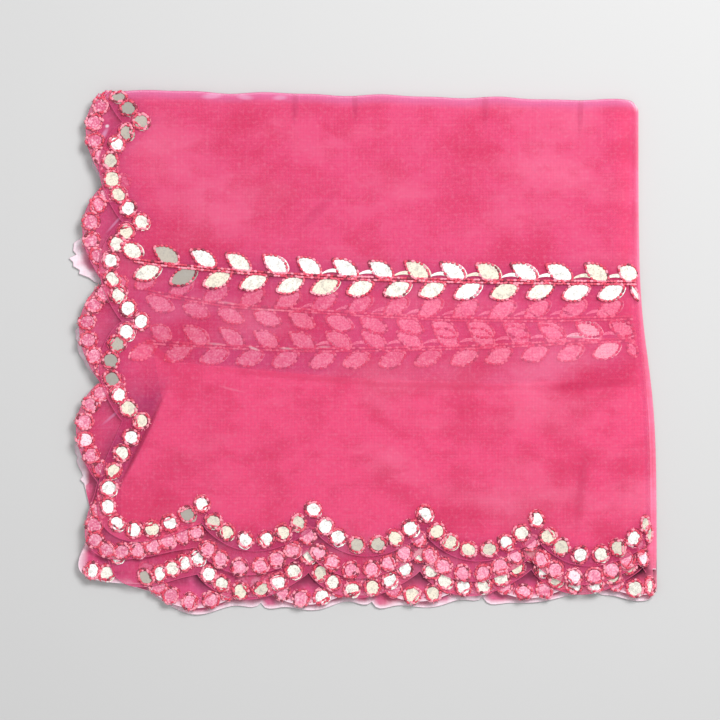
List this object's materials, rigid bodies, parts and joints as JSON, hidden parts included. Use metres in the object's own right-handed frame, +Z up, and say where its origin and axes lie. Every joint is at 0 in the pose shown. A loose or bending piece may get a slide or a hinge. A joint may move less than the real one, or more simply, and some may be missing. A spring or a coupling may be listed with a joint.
{
  "type": "folded dupatta stole",
  "caption": "Sheer organza dupatta stole folded flat into a near-square packet, with scalloped mirror-work edges on two sides and a leaf vine across the top.",
  "frame": {"origin": "centre of the folded packet's box in plan, at the surface it lies on", "axes": "+X along the packet's length, towards its smooth fold at the right; +Y across it, towards the smooth fold at the back; +Z up from the surface"},
  "size_m": [0.5138, 0.4608, 0.0141],
  "materials": {
    "organza": "sheer woven, soft sheen",
    "organza_in_layers": "sheer woven, several layers deep",
    "mirror_foil": "foil discs and leaves sewn on with thread"
  },
  "bodies": {
    "root": {"folded_core": "organza_in_layers", "third_layer": "organza", "second_layer": "organza", "top_layer": "organza", "third_mirror_border": "mirror_foil", "top_mirror_border": "mirror_foil", "leaf_vine": "mirror_foil"}
  },
  "joints": []
}
